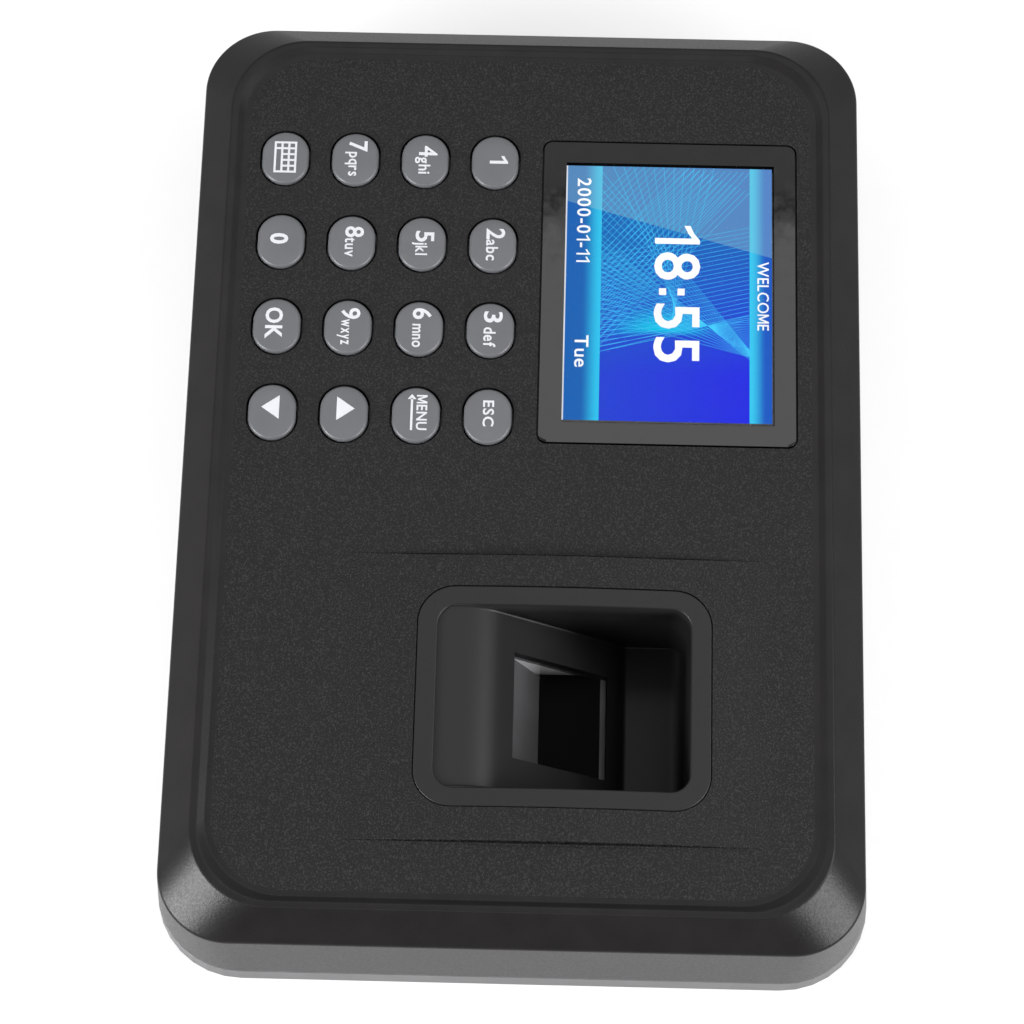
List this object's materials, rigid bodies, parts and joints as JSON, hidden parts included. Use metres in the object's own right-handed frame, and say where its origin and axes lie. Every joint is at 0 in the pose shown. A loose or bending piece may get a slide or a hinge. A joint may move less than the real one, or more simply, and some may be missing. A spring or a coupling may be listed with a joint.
{
  "type": "fingerprint scanner terminal",
  "caption": "Flat black terminal with a bevelled cover, a colour display, a grid of grey push keys, and a sunk finger well with a sloping optical sensor.",
  "frame": {"origin": "centre of the back face, on the plane that the back rests on", "axes": "+Z out of the face, +X to the terminal's right as its user reads it, +Y to its top"},
  "size_m": [0.169, 0.1222, 0.0326],
  "materials": {
    "case_black": "fine spark-textured black ABS, semi-gloss on the bevel",
    "back_black": "fine-textured black ABS",
    "well_black": "satin black ABS",
    "lens_black": "polished acrylic with a black printed border",
    "screen": "lit colour display",
    "light_plastic": "plain light-grey plastic",
    "key_grey": "satin grey caps with white printed signs",
    "rubber_grey": "silicone rubber",
    "circuit_board": "green solder mask",
    "connector_black": "moulded black plastic",
    "prism_glass": "clear polished prism",
    "pad_black": "light-absorbing black",
    "steel": "bright plated steel",
    "plate_steel": "zinc-plated steel sheet",
    "ribbon_white": "flat white lead",
    "speaker_black": "paper cone and black basket"
  },
  "bodies": {
    "housing": {"front_cover": "case_black", "back_cover": "back_black", "finger_well": "well_black", "display_lens": "lens_black", "lcd_panel": "screen", "lcd_backlight": "light_plastic", "sensor_housing": "light_plastic", "keypad_mat": "rubber_grey", "keypad_board": "circuit_board", "main_board": "circuit_board", "sensor_board": "circuit_board", "dc_jack": "connector_black", "cell_holder": "connector_black", "sensor_lens": "connector_black", "sensor_lead": "connector_black", "sensor_prism": "prism_glass", "prism_base": "pad_black", "lcd_frame": "steel", "usb_port": "steel", "coin_cell": "steel", "cover_screw_1": "steel", "cover_screw_2": "steel", "cover_screw_3": "steel", "cover_screw_4": "steel", "board_screw_1": "steel", "board_screw_2": "steel", "board_screw_3": "steel", "board_screw_4": "steel", "keypad_screw_1": "steel", "keypad_screw_2": "steel", "keypad_screw_3": "steel", "keypad_screw_4": "steel", "wall_plate": "plate_steel", "display_ribbon": "ribbon_white", "keypad_ribbon": "ribbon_white", "speaker": "speaker_black"},
    "key_1": {"key_1": "key_grey"},
    "key_2": {"key_2": "key_grey"},
    "key_3": {"key_3": "key_grey"},
    "key_esc": {"key_esc": "key_grey"},
    "key_4": {"key_4": "key_grey"},
    "key_5": {"key_5": "key_grey"},
    "key_6": {"key_6": "key_grey"},
    "key_menu": {"key_menu": "key_grey"},
    "key_7": {"key_7": "key_grey"},
    "key_8": {"key_8": "key_grey"},
    "key_9": {"key_9": "key_grey"},
    "key_up": {"key_up": "key_grey"},
    "key_input": {"key_input": "key_grey"},
    "key_0": {"key_0": "key_grey"},
    "key_ok": {"key_ok": "key_grey"},
    "key_down": {"key_down": "key_grey"}
  },
  "joints": [
    {"name": "key_1_press", "type": "slide", "parent": "housing", "child": "key_1", "axis": [0, 0, -1], "range_m": [0, 0.0008], "stiffness_N_per_m": 800, "springref_m": -0.0005},
    {"name": "key_2_press", "type": "slide", "parent": "housing", "child": "key_2", "axis": [0, 0, -1], "range_m": [0, 0.0008], "stiffness_N_per_m": 800, "springref_m": -0.0005},
    {"name": "key_3_press", "type": "slide", "parent": "housing", "child": "key_3", "axis": [0, 0, -1], "range_m": [0, 0.0008], "stiffness_N_per_m": 800, "springref_m": -0.0005},
    {"name": "key_esc_press", "type": "slide", "parent": "housing", "child": "key_esc", "axis": [0, 0, -1], "range_m": [0, 0.0008], "stiffness_N_per_m": 800, "springref_m": -0.0005},
    {"name": "key_4_press", "type": "slide", "parent": "housing", "child": "key_4", "axis": [0, 0, -1], "range_m": [0, 0.0008], "stiffness_N_per_m": 800, "springref_m": -0.0005},
    {"name": "key_5_press", "type": "slide", "parent": "housing", "child": "key_5", "axis": [0, 0, -1], "range_m": [0, 0.0008], "stiffness_N_per_m": 800, "springref_m": -0.0005},
    {"name": "key_6_press", "type": "slide", "parent": "housing", "child": "key_6", "axis": [0, 0, -1], "range_m": [0, 0.0008], "stiffness_N_per_m": 800, "springref_m": -0.0005},
    {"name": "key_menu_press", "type": "slide", "parent": "housing", "child": "key_menu", "axis": [0, 0, -1], "range_m": [0, 0.0008], "stiffness_N_per_m": 800, "springref_m": -0.0005},
    {"name": "key_7_press", "type": "slide", "parent": "housing", "child": "key_7", "axis": [0, 0, -1], "range_m": [0, 0.0008], "stiffness_N_per_m": 800, "springref_m": -0.0005},
    {"name": "key_8_press", "type": "slide", "parent": "housing", "child": "key_8", "axis": [0, 0, -1], "range_m": [0, 0.0008], "stiffness_N_per_m": 800, "springref_m": -0.0005},
    {"name": "key_9_press", "type": "slide", "parent": "housing", "child": "key_9", "axis": [0, 0, -1], "range_m": [0, 0.0008], "stiffness_N_per_m": 800, "springref_m": -0.0005},
    {"name": "key_up_press", "type": "slide", "parent": "housing", "child": "key_up", "axis": [0, 0, -1], "range_m": [0, 0.0008], "stiffness_N_per_m": 800, "springref_m": -0.0005},
    {"name": "key_input_press", "type": "slide", "parent": "housing", "child": "key_input", "axis": [0, 0, -1], "range_m": [0, 0.0008], "stiffness_N_per_m": 800, "springref_m": -0.0005},
    {"name": "key_0_press", "type": "slide", "parent": "housing", "child": "key_0", "axis": [0, 0, -1], "range_m": [0, 0.0008], "stiffness_N_per_m": 800, "springref_m": -0.0005},
    {"name": "key_ok_press", "type": "slide", "parent": "housing", "child": "key_ok", "axis": [0, 0, -1], "range_m": [0, 0.0008], "stiffness_N_per_m": 800, "springref_m": -0.0005},
    {"name": "key_down_press", "type": "slide", "parent": "housing", "child": "key_down", "axis": [0, 0, -1], "range_m": [0, 0.0008], "stiffness_N_per_m": 800, "springref_m": -0.0005}
  ]
}
